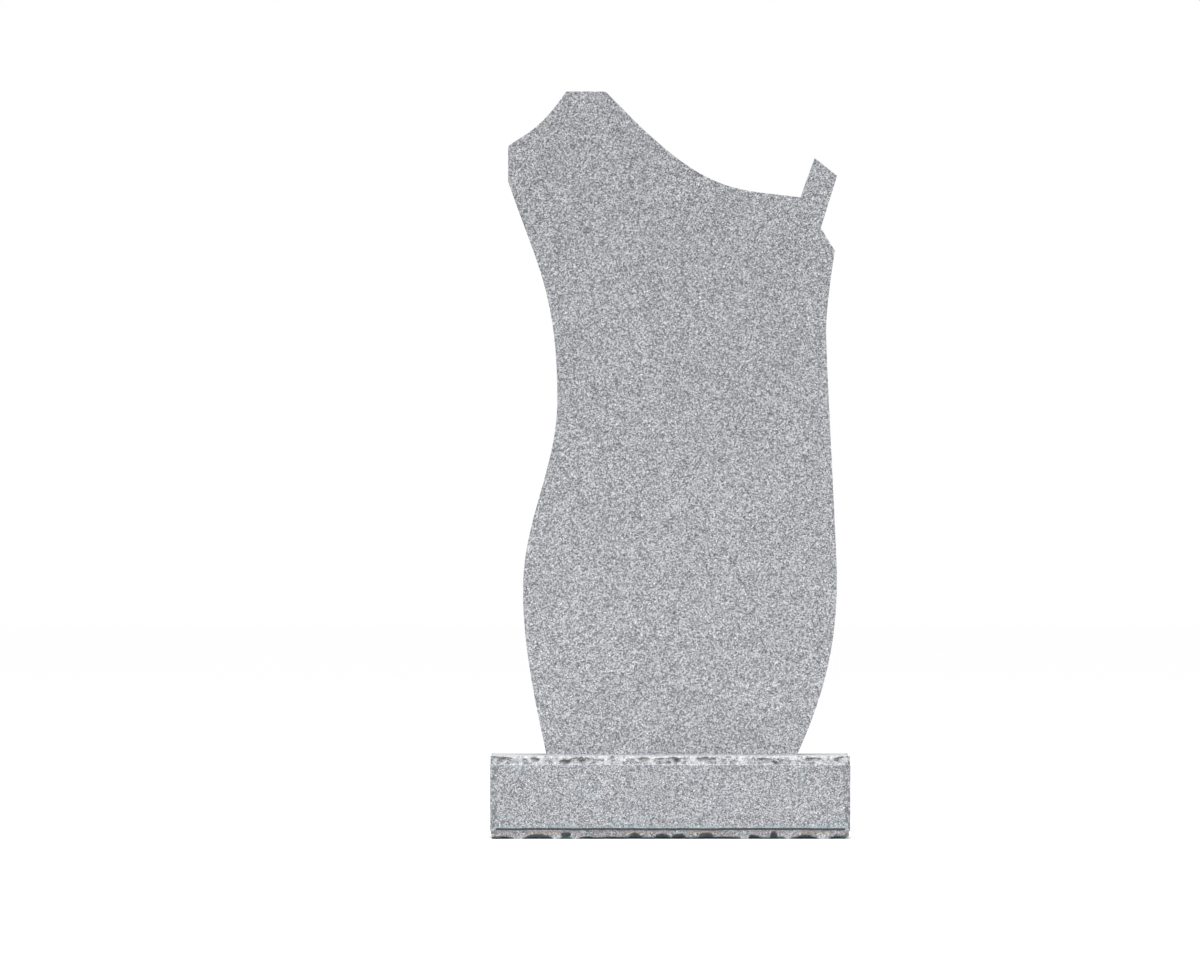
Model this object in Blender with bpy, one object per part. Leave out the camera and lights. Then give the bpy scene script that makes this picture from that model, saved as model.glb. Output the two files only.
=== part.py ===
"""Headstone: a granite tablet of shaped outline standing on a rectangular base block.

Two separate stones, each one solid: the tablet and the base.
Metres, +Z up, the front faces -Y, the origin is the middle of the base's underside.
"""
import math

import bmesh
import bpy
import numpy as np
from mathutils import Vector

# Overall sizes
TABLET_HEIGHT = 1.200
TABLET_WIDTH = 0.595
TABLET_THICKNESS = 0.080
BASE_WIDTH = 0.650
BASE_DEPTH = 0.200
BASE_HEIGHT = 0.150

# How the two stones meet
JOINT_GAP = 0.0003
TABLET_SHIFT = 0.0046

# Tablet details
TABLET_ARRIS = 0.0015
SHARP_DEGREES = 60.0
TIP_RADIUS = 0.005
TIP_STEPS = 3
CURVE_STEP = 0.022

# Base details
UPPER_BREAK_HEIGHT = 0.018
UPPER_BREAK_DEPTH = 0.0155
UPPER_SHALLOWEST = 0.40
UPPER_SCAR_LENGTH = 0.062
LOWER_LIP_HEIGHT = 0.0165
LOWER_HOLLOW_HEIGHT = 0.009
LOWER_HOLLOW_DEPTH = 0.0108
LOWER_SHALLOWEST = 0.20
LOWER_SCAR_LENGTH = 0.034
LIP_ROUGHNESS = 0.0015
SAW_LINE_HEIGHT = 0.0030
SAW_LINE_DEPTH = 0.0040
SAW_LINE_MARGIN = 0.011
CORNER_MARGIN = 0.012
CORNER_SETBACK = 0.0025
COLUMN_PITCH = 0.0125
UPPER_SEED = 11
LOWER_SEED = 5

# Flake scars: their lengths and depths as shares of the usual length and the full depth,
# how deep an arch starts at its ends, and the roughness on top
SCAR_LENGTHS = (0.5, 1.5)
SCAR_DEPTHS = (0.35, 1.0)
SCAR_END = 0.35
SCAR_ROUGHNESS = 0.08

# Rows between the edges: share of the height and share of the setback
HOLLOW_ROW = (0.45, 0.75)
BREAK_ROWS = ((0.22, 0.42), (0.60, 0.72))
SAW_SLOPE = 0.2

GRANITE_COLOUR = (0.418, 0.428, 0.451, 1.0)
BASE_COLOUR = (0.430, 0.440, 0.462, 1.0)
GRANITE_ROUGHNESS = 0.55

# Tablet outline as shares of its width and height, (0, 0) at the lower left of its extents.
# Each point is where a side turns; the bellies and waists are where a side runs plumb.
FOOT_LEFT = (0.1165, 0.0)
BELLY_LEFT = (0.0451, 0.2478)
WAIST_LEFT = (0.1495, 0.5345)
EAR_LOWER = (0.0, 0.8645)
EAR_UPPER = (0.0, 0.9177)
PEAK_LEFT = (0.1771, 1.0)
PEAK_RIGHT = (0.2972, 1.0)
STUB_FOOT = (0.8897, 0.8405)
STUB_TOP_LEFT = (0.9322, 0.8994)
STUB_TOP_RIGHT = (1.0, 0.8729)
NOTCH = (0.9506, 0.7941)
SHOULDER = (0.9936, 0.7595)
WAIST_RIGHT = (0.9668, 0.6370)
BELLY_RIGHT = (0.9996, 0.2691)
FOOT_RIGHT = (0.8782, 0.0)

# Each curved side's two handles: the step from its start to the first, and the step
# from the second to its end, also as shares.
FOOT_TO_BELLY_LEFT = ((-0.026, 0.062), (0.0, 0.0900))
BELLY_TO_WAIST_LEFT = ((0.0, 0.1078), (0.0, 0.1012))
WAIST_TO_EAR = ((0.0, 0.1607), (-0.0867, 0.1257))
EAR_TO_PEAK = ((0.0741, 0.0248), (0.0753, 0.0537))
PEAK_TO_STUB = ((0.2961, -0.1552), (0.2248, -0.0135))
SHOULDER_TO_WAIST = ((-0.0149, -0.0430), (0.0, -0.0300))
WAIST_TO_BELLY_RIGHT = ((0.0, -0.0400), (0.0, -0.0300))
BELLY_TO_FOOT_RIGHT = ((0.0, -0.0856), (-0.0974, -0.1050))


def clear_scene():
    """Remove every object of the scene the script starts in."""
    for item in list(bpy.data.objects):
        bpy.data.objects.remove(item, do_unlink=True)


def make_material(name, colour):
    """A plain stone material."""
    material = bpy.data.materials.new(name)
    material.use_nodes = True
    shader = material.node_tree.nodes["Principled BSDF"]
    shader.inputs["Base Color"].default_value = colour
    shader.inputs["Roughness"].default_value = GRANITE_ROUGHNESS
    return material


def make_object(name, work, material):
    """Turn a finished bmesh into a named object with its material."""
    bmesh.ops.recalc_face_normals(work, faces=work.faces)
    mesh = bpy.data.meshes.new(name)
    work.to_mesh(mesh)
    work.free()
    mesh.materials.append(material)
    item = bpy.data.objects.new(name, mesh)
    bpy.context.scene.collection.objects.link(item)
    return item


def place(share):
    """Position of an outline share on the tablet, in metres (across, up)."""
    return Vector(((share[0] - 0.5) * TABLET_WIDTH, share[1] * TABLET_HEIGHT))


def curve(start, handles, end):
    """Points of a cubic curve between two shares, the start left out."""
    leave, arrive = handles
    p0, p3 = place(start), place(end)
    p1 = p0 + Vector((leave[0] * TABLET_WIDTH, leave[1] * TABLET_HEIGHT))
    p2 = p3 - Vector((arrive[0] * TABLET_WIDTH, arrive[1] * TABLET_HEIGHT))
    steps = max(4, round((p3 - p0).length / CURVE_STEP))
    points = []
    for i in range(1, steps + 1):
        t = i / steps
        s = 1.0 - t
        points.append(p0 * s ** 3 + p1 * 3 * s * s * t + p2 * 3 * s * t * t + p3 * t ** 3)
    return points


def rounded(before, tip, after):
    """A worn tip: short arc that cuts the corner between two neighbouring points."""
    enter = tip + (before - tip).normalized() * TIP_RADIUS
    leave = tip + (after - tip).normalized() * TIP_RADIUS
    arc = []
    for i in range(TIP_STEPS + 1):
        t = i / TIP_STEPS
        s = 1.0 - t
        arc.append(enter * s * s + tip * 2 * s * t + leave * t * t)
    return arc


def tablet_outline():
    """The tablet's outline from the left end of the foot, round by the ear and the peak."""
    left = [place(FOOT_LEFT)]
    left += curve(FOOT_LEFT, FOOT_TO_BELLY_LEFT, BELLY_LEFT)
    left += curve(BELLY_LEFT, BELLY_TO_WAIST_LEFT, WAIST_LEFT)
    left += curve(WAIST_LEFT, WAIST_TO_EAR, EAR_LOWER)
    crown = curve(EAR_UPPER, EAR_TO_PEAK, PEAK_LEFT)
    sweep = curve(PEAK_RIGHT, PEAK_TO_STUB, STUB_FOOT)
    ear_tip = rounded(left[-1], place(EAR_UPPER), crown[0])
    peak_tip = rounded(crown[-1], place(PEAK_RIGHT), sweep[0])
    stub = [place(STUB_TOP_LEFT), place(STUB_TOP_RIGHT), place(NOTCH), place(SHOULDER)]
    right = curve(SHOULDER, SHOULDER_TO_WAIST, WAIST_RIGHT)
    right += curve(WAIST_RIGHT, WAIST_TO_BELLY_RIGHT, BELLY_RIGHT)
    right += curve(BELLY_RIGHT, BELLY_TO_FOOT_RIGHT, FOOT_RIGHT)
    return left + ear_tip + crown + peak_tip + sweep + stub + right


def build_tablet(material):
    """The upright slab: its outline carried straight through, arrises lightly eased."""
    work = bmesh.new()
    foot_level = BASE_HEIGHT + JOINT_GAP
    outline = tablet_outline()
    rings = []
    for depth in (-TABLET_THICKNESS / 2, TABLET_THICKNESS / 2):
        rings.append([
            work.verts.new((point.x + TABLET_SHIFT, depth, point.y + foot_level))
            for point in outline
        ])
    front, back = rings
    work.faces.new(front)
    work.faces.new(back)
    for i in range(len(front)):
        j = (i + 1) % len(front)
        work.faces.new((front[j], front[i], back[i], back[j]))
    tablet = make_object("tablet", work, material)
    ease = tablet.modifiers.new("eased arrises", "BEVEL")
    ease.width = TABLET_ARRIS
    ease.segments = 1
    ease.limit_method = "ANGLE"
    ease.angle_limit = math.radians(SHARP_DEGREES)
    return tablet


def base_plan():
    """Columns round the base from above: (point, inward direction, side).

    Each side runs between two corner margins, and the corner itself is set back
    a little on both faces.
    """
    half_w, half_d = BASE_WIDTH / 2, BASE_DEPTH / 2
    sides = (
        ("front", Vector((-half_w, -half_d)), Vector((1, 0)), BASE_WIDTH),
        ("right", Vector((half_w, -half_d)), Vector((0, 1)), BASE_DEPTH),
        ("back", Vector((half_w, half_d)), Vector((-1, 0)), BASE_WIDTH),
        ("left", Vector((-half_w, half_d)), Vector((0, -1)), BASE_DEPTH),
    )
    columns = []
    for name, corner, along, length in sides:
        inward = Vector((-along.y, along.x))
        start = corner + along * CORNER_SETBACK
        columns.append((start, (inward + along).normalized(), "corner"))
        run = length - 2 * CORNER_MARGIN
        count = round(run / COLUMN_PITCH)
        for i in range(count + 1):
            point = corner + along * (CORNER_MARGIN + run * i / count)
            columns.append((point, inward, name))
    return columns


def scars(count, span, shallowest, seed):
    """Depth shares of a broken edge round the base, from shallowest to 1, one a column.

    The edge is a row of flake scars: arches of about span columns, each with its
    own length and depth, and a little roughness on top.
    """
    rng = np.random.default_rng(seed)
    values = np.zeros(count)
    at = 0
    while at < count:
        length = max(2, round(span * rng.uniform(*SCAR_LENGTHS)))
        depth = rng.uniform(*SCAR_DEPTHS)
        reach = min(length, count - at)
        arch = np.sin(np.pi * (np.arange(reach) + 0.5) / length)
        values[at:at + reach] = depth * (SCAR_END + (1.0 - SCAR_END) * arch)
        at += reach
    rough = np.clip(values + rng.uniform(-SCAR_ROUGHNESS, SCAR_ROUGHNESS, count), 0.0, 1.0)
    return shallowest + (1.0 - shallowest) * rough


def base_rows():
    """Rows of the base's sides from the ground up: (height, kind, share of the setback)."""
    face_top = BASE_HEIGHT - UPPER_BREAK_HEIGHT
    saw_top = LOWER_LIP_HEIGHT + SAW_LINE_HEIGHT
    rows = [
        (0.0, "hollow", 1.0),
        (LOWER_HOLLOW_HEIGHT * HOLLOW_ROW[0], "hollow", HOLLOW_ROW[1]),
        (LOWER_HOLLOW_HEIGHT, "lip", 0.0),
        (LOWER_LIP_HEIGHT, "face", 0.0),
        (LOWER_LIP_HEIGHT + SAW_LINE_HEIGHT * SAW_SLOPE, "saw", 1.0),
        (saw_top - SAW_LINE_HEIGHT * SAW_SLOPE, "saw", 1.0),
        (saw_top, "face", 0.0),
        (face_top, "face", 0.0),
    ]
    for up, back in BREAK_ROWS:
        rows.append((face_top + UPPER_BREAK_HEIGHT * up, "break", back))
    rows.append((BASE_HEIGHT, "break", 1.0))
    return rows


def row_setback(kind, share, upper, lower, side, point):
    """How far one column stands back from its face on one row."""
    if kind == "break":
        return UPPER_BREAK_DEPTH * share * upper
    if kind == "hollow":
        return LOWER_HOLLOW_DEPTH * share * lower
    if kind == "lip":
        return LIP_ROUGHNESS * (1.0 + lower)
    reach = BASE_WIDTH / 2 - SAW_LINE_MARGIN
    if kind == "saw" and side == "front" and abs(point.x) < reach:
        return SAW_LINE_DEPTH
    return 0.0


def build_base(material):
    """The rectangular block with broken upper and lower edges and a saw line in front."""
    work = bmesh.new()
    columns = base_plan()
    count = len(columns)
    upper = scars(count, UPPER_SCAR_LENGTH / COLUMN_PITCH, UPPER_SHALLOWEST, UPPER_SEED)
    lower = scars(count, LOWER_SCAR_LENGTH / COLUMN_PITCH, LOWER_SHALLOWEST, LOWER_SEED)
    rings = []
    for height, kind, share in base_rows():
        ring = []
        for k, (point, inward, side) in enumerate(columns):
            setback = row_setback(kind, share, upper[k], lower[k], side, point)
            spot = point + inward * setback
            ring.append(work.verts.new((spot.x, spot.y, height)))
        rings.append(ring)
    for low, high in zip(rings, rings[1:]):
        for i in range(len(low)):
            j = (i + 1) % len(low)
            work.faces.new((low[i], low[j], high[j], high[i]))
    work.faces.new(rings[0])
    work.faces.new(rings[-1])
    return make_object("base", work, material)


def main():
    """Build the headstone."""
    clear_scene()
    build_base(make_material("base granite", BASE_COLOUR))
    build_tablet(make_material("tablet granite", GRANITE_COLOUR))


main()
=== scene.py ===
"""Headstone: a shaped granite tablet standing on a rectangular granite base.

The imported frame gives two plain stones. Each is replaced here by a stone of the
same extents with its fine work: the tablet with eased, slightly nicked arrises and
dressed edges, and the base with its broken upper edge, the saw line low on its
front and the broken lip under it. Metres, +Z up, the front faces -Y.
"""
import logging
import math
from dataclasses import dataclass
from enum import Enum

import bpy
import numpy as np
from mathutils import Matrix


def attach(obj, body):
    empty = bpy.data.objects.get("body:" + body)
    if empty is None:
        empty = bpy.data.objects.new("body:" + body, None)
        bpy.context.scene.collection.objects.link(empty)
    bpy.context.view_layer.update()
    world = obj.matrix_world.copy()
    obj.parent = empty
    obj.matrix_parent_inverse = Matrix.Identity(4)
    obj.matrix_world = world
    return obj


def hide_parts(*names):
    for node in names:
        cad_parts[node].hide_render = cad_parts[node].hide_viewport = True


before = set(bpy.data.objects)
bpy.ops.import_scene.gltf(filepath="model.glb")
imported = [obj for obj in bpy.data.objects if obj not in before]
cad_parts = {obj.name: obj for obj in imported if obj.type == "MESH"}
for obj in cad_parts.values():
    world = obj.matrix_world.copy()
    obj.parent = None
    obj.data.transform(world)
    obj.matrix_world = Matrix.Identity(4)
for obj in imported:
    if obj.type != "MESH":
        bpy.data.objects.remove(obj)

MM = 0.001
LOG = logging.getLogger("headstone")

# Layers of a rough noise, and the fewest cells that one has round a stone.
OCTAVES = 3
FEWEST_CELLS = 3
# Where even a ragged scar ends, as the sum of the squares of its two shares.
SCAR_RIM = 2.0

# Two numbers that belong together: a least and a greatest, or where a change starts and ends.
Range = tuple[float, float]
# A place or a step across and up, as shares of the tablet's width and height.
Share = tuple[float, float]
# The step from a side's start to its first handle, and from its second handle to its end.
Handles = tuple[Share, Share]
Point = tuple[float, float, float]
Socket = bpy.types.NodeSocket


class Side(Enum):
    """The four upright faces of the base, in their order round it from above."""

    FRONT = 0
    RIGHT = 1
    BACK = 2
    LEFT = 3


class WearAndLight(Enum):
    """What each channel of a stone's attribute of wear and painted light holds. The first also
    holds painted light, the second and the last also painted shade.
    """

    BROKEN_AND_LIT = 0
    STAIN_AND_SHADE = 1
    SLURRY = 2
    DIRT_AND_SHADE = 3


def linear(hex_code: str) -> tuple[float, float, float, float]:
    """Turn an sRGB hex colour into linear light.

    Args:
        hex_code: the colour as "#rrggbb".

    Returns:
        Red, green, blue and an alpha of one, linear.
    """
    values = [int(hex_code[i:i + 2], 16) / 255 for i in (1, 3, 5)]
    light = [v / 12.92 if v <= 0.04045 else ((v + 0.055) / 1.055) ** 2.4 for v in values]
    return (light[0], light[1], light[2], 1.0)


def add_node(tree: bpy.types.NodeTree, kind: str, inputs: dict | None = None,
             **settings: object) -> bpy.types.Node:
    """Add one node to a tree, set it and link it.

    Args:
        tree: the material's or the world's node tree.
        kind: the node's Blender type name.
        inputs: socket name or number to a value, or to the output socket linked in.
        settings: the node's own properties.

    Returns:
        The new node.
    """
    node = tree.nodes.new(kind)
    for name, value in settings.items():
        setattr(node, name, value)
    for socket, value in (inputs or {}).items():
        if isinstance(value, Socket):
            tree.links.new(value, node.inputs[socket])
        else:
            node.inputs[socket].default_value = value
    return node


def smooth_step(values: np.ndarray, start: float, end: float) -> np.ndarray:
    """Go from 0 at start to 1 at end along 3t^2 - 2t^3, whichever of the two is lower."""
    t = np.clip((values - start) / (end - start), 0.0, 1.0)
    return t * t * (3.0 - 2.0 * t)


def value_noise(u: np.ndarray, v: np.ndarray, period: int, seed: int) -> np.ndarray:
    """Smooth random relief from 0 to 1 over a plane that closes on itself along u.

    Random heights stand on the whole-number crossings of u and v, and between them
    the height is blended along 3t^2 - 2t^3 in both directions.

    Args:
        u: coordinate round the stone, in cells, periodic after period cells.
        v: coordinate across it, in cells, not negative.
        period: number of cells round the stone.
        seed: seed of the random heights.

    Returns:
        Heights, in the shape of u and v broadcast together.
    """
    u, v = np.broadcast_arrays(u, v)
    rng = np.random.default_rng(seed)
    heights = rng.random((period, int(v.max()) + 3))
    i, j = np.floor(u).astype(int), np.floor(v).astype(int)
    a, b = u - i, v - j
    a, b = a * a * (3 - 2 * a), b * b * (3 - 2 * b)
    i0, i1 = i % period, (i + 1) % period
    near = heights[i0, j] * (1 - a) + heights[i1, j] * a
    far = heights[i0, j + 1] * (1 - a) + heights[i1, j + 1] * a
    return near * (1 - b) + far * b


def rough_noise(s: np.ndarray, t: np.ndarray, length: float, cell: float,
                seed: int) -> np.ndarray:
    """Broken-stone relief: value noise at cell, cell / 2 and cell / 4, each half as high.

    Args:
        s: distance round the stone, in metres.
        t: distance across the surface, in metres.
        length: the way once round the stone, in metres.
        cell: size of the coarsest relief, in metres.
        seed: seed of the random heights.

    Returns:
        Relief from 0 to 1.
    """
    total = np.zeros(np.broadcast(s, t).shape)
    for octave in range(OCTAVES):
        step = cell / 2 ** octave
        period = max(FEWEST_CELLS, round(length / step))
        around = s / length * period
        total += value_noise(around, t / step, period, seed + octave) / 2 ** octave
    return total / sum(1 / 2 ** octave for octave in range(OCTAVES))


@dataclass(frozen=True)
class Noise:
    """One random relief of the base.

    Attributes:
        cell: size of its coarsest relief, in metres.
        seed: seed of its random heights.
    """

    cell: float
    seed: int


@dataclass(frozen=True)
class Scar:
    """One flake scar: an ellipsoidal hollow in an upright face.

    Attributes:
        across: its middle, measured round the base from the front's left end, in mm.
        height: its middle above the ground, in mm.
        length: its whole length, in mm.
        tall: its whole height, in mm.
        depth: how deep it goes, in mm.
    """

    across: float
    height: float
    length: float
    tall: float
    depth: float


@dataclass(frozen=True)
class ScarRow:
    """A row of seeded scars all round the base.

    Attributes:
        heights: lowest and highest middle, in mm.
        tall: range of their heights, in mm.
        count: how many, all round.
        seed: seed of their sizes and places.
    """

    heights: Range
    tall: Range
    count: int
    seed: int


def scar_depth(s: np.ndarray, z: np.ndarray, scars: list[Scar],
               ragged: np.ndarray | float = 0.0) -> np.ndarray:
    """Depth of the deepest scar at each point.

    One scar is depth * sqrt(1 + ragged - (ds / a)^2 - (dz / b)^2) with a and b half
    its length and height, and nothing where the two squares come to the rim or more.
    Ridges stand where scars meet.

    Args:
        s: distance round the base, in metres.
        z: height, in metres.
        scars: the scars.
        ragged: noise about 0 that breaks up their outlines.

    Returns:
        Depths in metres, in the shape of s and z broadcast together.
    """
    deepest = np.zeros(np.broadcast(s, z).shape)
    for scar in scars:
        ds = (s - scar.across * MM) / (scar.length * MM / 2)
        dz = (z - scar.height * MM) / (scar.tall * MM / 2)
        within = ds ** 2 + dz ** 2 < SCAR_RIM
        inside = np.clip(1.0 + ragged - ds ** 2 - dz ** 2, 0.0, None) * within
        deepest = np.maximum(deepest, scar.depth * MM * np.sqrt(inside))
    return deepest


def ring_mesh(name: str, rings: np.ndarray, wear_and_light: np.ndarray,
              sharp_degrees: float) -> bpy.types.Object:
    """Skin a stack of closed rings into one closed stone, with a flat cap at either end.

    Args:
        name: the piece's name.
        rings: points as an array of rings x columns x 3, in metres.
        wear_and_light: rings x columns x 4, the attribute of wear, dirt, painted light and painted
            shade.
        sharp_degrees: edges that turn by more than this stay sharp.

    Returns:
        The new object, linked to the scene.
    """
    rows, columns = rings.shape[:2]
    index = np.arange(rows * columns).reshape(rows, columns)
    right = np.roll(index, -1, axis=1)
    quads = np.stack([index[:-1], right[:-1], right[1:], index[1:]], axis=-1).reshape(-1, 4)
    corners = np.concatenate([quads.ravel(), index[0][::-1], index[-1]])
    sizes = np.concatenate([np.full(len(quads), 4), [columns, columns]])
    starts = np.concatenate([[0], np.cumsum(sizes)[:-1]])
    mesh = bpy.data.meshes.new(name)
    mesh.vertices.add(rows * columns)
    mesh.vertices.foreach_set("co", rings.reshape(-1).astype(np.float32))
    mesh.loops.add(len(corners))
    mesh.loops.foreach_set("vertex_index", corners.astype(np.int32))
    mesh.polygons.add(len(sizes))
    mesh.polygons.foreach_set("loop_start", starts.astype(np.int32))
    mesh.polygons.foreach_set("use_smooth", sizes == 4)
    attribute = mesh.attributes.new("wear_and_light", "FLOAT_COLOR", "POINT")
    attribute.data.foreach_set("color", wear_and_light.reshape(-1).astype(np.float32))
    mesh.update(calc_edges=True)
    mesh.validate()
    mesh.set_sharp_from_angle(angle=math.radians(sharp_degrees))
    piece = bpy.data.objects.new(name, mesh)
    bpy.context.scene.collection.objects.link(piece)
    return piece


@dataclass(frozen=True)
class Granite:
    """Light grey granite, fine grained, sawn and then evenly dressed but not polished.

    Interlocking grains of pale feldspar and grey quartz with small flecks of black
    mica and a few bright flecks give an even salt-and-pepper grey; the bright flecks
    are pale crystals and painted glints. The dressed surface is matt, and freshly
    broken stone is paler and rougher because its crystals are bruised. Over a joint
    the stone is painted paler: painted light that offsets the shade at the foot.

    Attributes:
        name: the material's name.
        joint: height of the joint that the stone stands on, in metres, or None.
        grain: size of the feldspar and quartz grains.
        fleck: size of the mica flecks and of the bright crystals.
        sway: how far the grains' borders are bent, as a share of the grain.
        plagioclase_at: how far the plagioclase stands between quartz and feldspar.
        mica_lots: lots from which a fleck begins to be mica and is wholly mica.
        mica_strength: how much of the mica's colour such a fleck takes.
        glint_lots: lots from which a fleck begins to be bright and is wholly bright.
        glint_strength: how much of the pale colour such a fleck takes, a painted glint.
        detail: how many finer layers the noises have.
        cloud: size of the fine clouding, as a share of the grain.
        cloud_detail: how many finer layers the clouding has.
        cloud_noise: stretch of its noise that is used.
        cloud_tones: factors on the colour at the two ends of that stretch.
        patches: how many broad, faint patches there are to a metre.
        patch_noise: stretch of their noise that is used.
        patch_tones: factors on the colour at the two ends of that stretch.
        broken_and_lit_share: how much of the pale colour broken stone, and stone with painted
            light, takes.
        stain_and_shade_share: how much of its colour the stain gives, and so the painted shade made
            with it.
        slurry_share: how much of its colour the dried slurry gives.
        dirt_and_shade_share: how much of its colour the dark dirt gives, and so the painted shade
            made with it.
        foot_light_reach: height over the joint at which the painted light has half its effect.
        foot_light_gain: how much the painted light pales the stone at the joint.
        pit: size of the dressing's pits.
        pit_depth: depth of the pits.
        pit_strength: how strongly the pits show.
        crystal: size of the crystal steps on broken stone.
        crystal_depth: height of those steps.
        crystal_strength: how strongly those steps show.
        roughness: middle roughness of the dressed stone.
        quartz_gloss: how much smoother than that the quartz is.
        feldspar_matt: how much rougher than that the feldspar is.
        refraction: index of refraction of quartz and feldspar.
    """

    name: str
    joint: float | None = None
    feldspar: str = "#bfc0c4"
    plagioclase: str = "#888a8e"
    quartz: str = "#55575b"
    mica: str = "#2c2f34"
    bruised_and_lit: str = "#eeeff1"
    iron_stain_and_shade: str = "#8c7664"
    slurry: str = "#7fa0a9"
    dirt_and_shade: str = "#46555b"
    grain: float = 2.0 * MM
    fleck: float = 1.6 * MM
    sway: float = 0.5
    plagioclase_at: float = 0.42
    mica_lots: Range = (0.14, 0.10)
    mica_strength: float = 0.75
    glint_lots: Range = (0.95, 0.97)
    glint_strength: float = 0.7
    detail: float = 2.0
    cloud: float = 0.45
    cloud_detail: float = 3.0
    cloud_noise: Range = (0.25, 0.75)
    cloud_tones: Range = (0.765, 1.105)
    patches: float = 9.0
    patch_noise: Range = (0.3, 0.7)
    patch_tones: Range = (0.97, 1.03)
    broken_and_lit_share: float = 0.40
    stain_and_shade_share: float = 0.70
    slurry_share: float = 0.45
    dirt_and_shade_share: float = 0.88
    foot_light_reach: float = 10.0 * MM
    foot_light_gain: float = 0.45
    pit: float = 0.9 * MM
    pit_depth: float = 0.12 * MM
    pit_strength: float = 0.35
    crystal: float = 2.2 * MM
    crystal_depth: float = 1.2 * MM
    crystal_strength: float = 0.8
    roughness: float = 0.62
    quartz_gloss: float = 0.12
    feldspar_matt: float = 0.06
    refraction: float = 1.54

    def grains(self, tree: bpy.types.NodeTree, place: Socket) -> tuple[Socket, Socket]:
        """Colour of the mineral grains.

        Args:
            tree: the material's node tree.
            place: the point in the stone, in metres.

        Returns:
            The colour, and the lot from 0 to 1 that each grain drew.
        """
        bend = add_node(tree, "ShaderNodeTexNoise",
                        {"Vector": place, "Scale": 1 / self.grain, "Detail": self.detail})
        centred = add_node(tree, "ShaderNodeVectorMath",
                           {0: bend.outputs["Color"], 1: (0.5, 0.5, 0.5)}, operation="SUBTRACT")
        bent = add_node(tree, "ShaderNodeVectorMath",
                        {0: centred.outputs[0], 1: (self.grain * self.sway,) * 3, 2: place},
                        operation="MULTIPLY_ADD")
        cells = add_node(tree, "ShaderNodeTexVoronoi",
                         {"Vector": bent.outputs[0], "Scale": 1 / self.grain})
        lot = add_node(tree, "ShaderNodeSeparateColor", {0: cells.outputs["Color"]})
        ramp = add_node(tree, "ShaderNodeValToRGB", {0: lot.outputs[0]})
        stops = ramp.color_ramp.elements
        stops[0].position, stops[0].color = 0.0, linear(self.quartz)
        stops[1].position, stops[1].color = 1.0, linear(self.feldspar)
        stops.new(self.plagioclase_at).color = linear(self.plagioclase)
        flecks = add_node(tree, "ShaderNodeTexVoronoi",
                          {"Vector": bent.outputs[0], "Scale": 1 / self.fleck})
        draw = add_node(tree, "ShaderNodeSeparateColor", {0: flecks.outputs["Color"]})
        # The bright flecks are pale crystals and painted glints.
        kinds = (
            (draw.outputs[1], self.mica_lots, self.mica_strength, self.mica),
            (draw.outputs[2], self.glint_lots, self.glint_strength, self.bruised_and_lit),
        )
        colour = ramp.outputs[0]
        for drawn, lots, strength, tint in kinds:
            chosen = add_node(tree, "ShaderNodeMapRange",
                              {0: drawn, 1: lots[0], 2: lots[1], 3: 0.0, 4: strength})
            mixed = add_node(tree, "ShaderNodeMix",
                             {0: chosen.outputs[0], 6: colour, 7: linear(tint)},
                             data_type="RGBA")
            colour = mixed.outputs[2]
        return colour, lot.outputs[0]

    def toning(self, tree: bpy.types.NodeTree, place: Socket) -> Socket:
        """Light and dark of the stone: fine clouding, broad patches, and painted light over a
        joint.

        Args:
            tree: the material's node tree.
            place: the point in the stone, in metres.

        Returns:
            The factor on the stone's colour, the product of these.
        """
        cloud = add_node(tree, "ShaderNodeTexNoise",
                         {"Vector": place, "Scale": 1 / (self.grain * self.cloud),
                          "Detail": self.cloud_detail})
        fine = add_node(tree, "ShaderNodeMapRange",
                        {0: cloud.outputs[0], 1: self.cloud_noise[0], 2: self.cloud_noise[1],
                         3: self.cloud_tones[0], 4: self.cloud_tones[1]})
        patches = add_node(tree, "ShaderNodeTexNoise",
                           {"Vector": place, "Scale": self.patches, "Detail": self.detail})
        broad = add_node(tree, "ShaderNodeMapRange",
                         {0: patches.outputs[0], 1: self.patch_noise[0], 2: self.patch_noise[1],
                          3: self.patch_tones[0], 4: self.patch_tones[1]})
        tone = add_node(tree, "ShaderNodeMath", {0: fine.outputs[0], 1: broad.outputs[0]},
                        operation="MULTIPLY").outputs[0]
        if self.joint is None:
            return tone
        # Painted light over the joint offsets the shade that falls at the tablet's foot.
        return add_node(tree, "ShaderNodeMath", {0: tone, 1: self.foot_light(tree, place)},
                        operation="MULTIPLY").outputs[0]

    def foot_light(self, tree: bpy.types.NodeTree, place: Socket) -> Socket:
        """Painted light over the joint: 1 + gain * reach / (height over the joint + reach).

        Args:
            tree: the material's node tree.
            place: the point in the stone, in metres.

        Returns:
            The factor on the stone's colour.
        """
        height = add_node(tree, "ShaderNodeSeparateXYZ", {0: place})
        above = add_node(tree, "ShaderNodeMath",
                         {0: height.outputs["Z"], 1: self.foot_light_reach - self.joint})
        share = add_node(tree, "ShaderNodeMath",
                         {0: self.foot_light_gain * self.foot_light_reach, 1: above.outputs[0]},
                         operation="DIVIDE")
        return add_node(tree, "ShaderNodeMath", {0: share.outputs[0], 1: 1.0}).outputs[0]

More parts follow.
